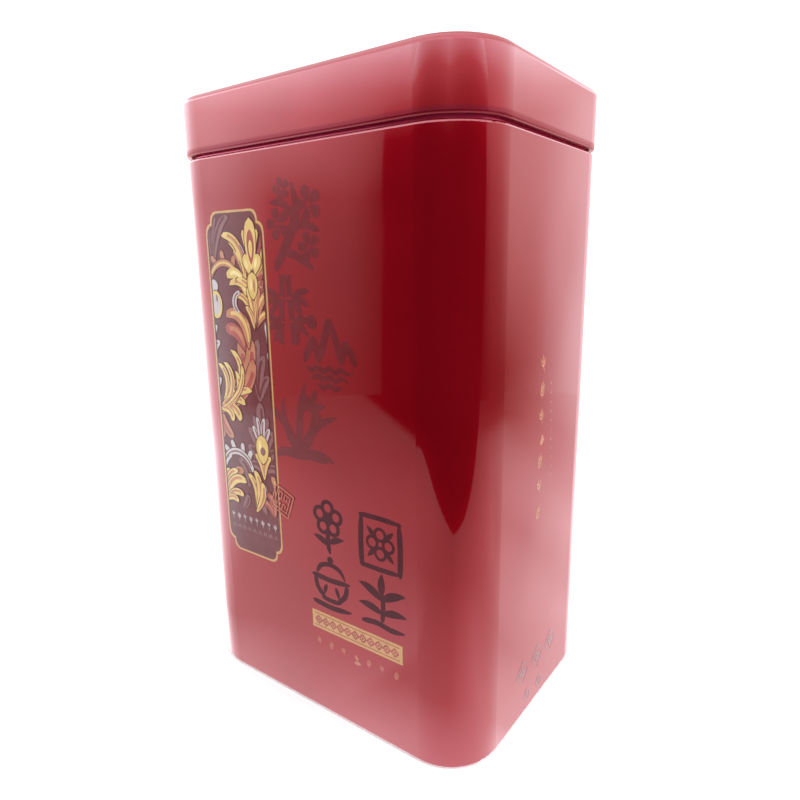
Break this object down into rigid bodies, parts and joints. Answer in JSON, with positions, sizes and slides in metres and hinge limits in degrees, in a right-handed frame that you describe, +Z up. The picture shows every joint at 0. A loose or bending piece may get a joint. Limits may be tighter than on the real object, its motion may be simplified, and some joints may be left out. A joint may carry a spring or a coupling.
{
  "type": "tea tin",
  "caption": "Tall rectangular tinplate tea caddy with rounded corners, slip-over lid, set-in neck and a plug lid with a knob; gloss red print with gold ornament.",
  "frame": {"origin": "bottom centre of the tin, on the plane it stands on", "axes": "+Z up along the tin's height, +X across the wide printed face, -Y out of that face; the side seam is on the +Y face"},
  "size_m": [0.1062, 0.0812, 0.18],
  "materials": {
    "red_lacquer": "gloss lacquer over tinplate, gold-lacquered inside",
    "tinplate": "bright tin",
    "alloy": "turned",
    "gold_ink": "gloss print",
    "dark_ink": "gloss print",
    "light_ink": "gloss print"
  },
  "bodies": {
    "tin": {"body_wall": "red_lacquer", "base_pan": "tinplate", "neck_collar": "tinplate"},
    "lid": {"lid_shell": "red_lacquer"},
    "plug": {"plug_lid": "tinplate", "plug_knob": "alloy", "knob_rivet": "alloy"}
  },
  "joints": [
    {"name": "lid_lift", "type": "slide", "parent": "tin", "child": "lid", "axis": [0, 0, 1], "range_m": [0, 0.07]},
    {"name": "plug_lift", "type": "slide", "parent": "tin", "child": "plug", "axis": [0, 0, 1], "range_m": [0, 0.035]}
  ],
  "couplings": [
    {"joint": "plug_lift", "follows": "lid_lift", "ratio": 0.5}
  ]
}
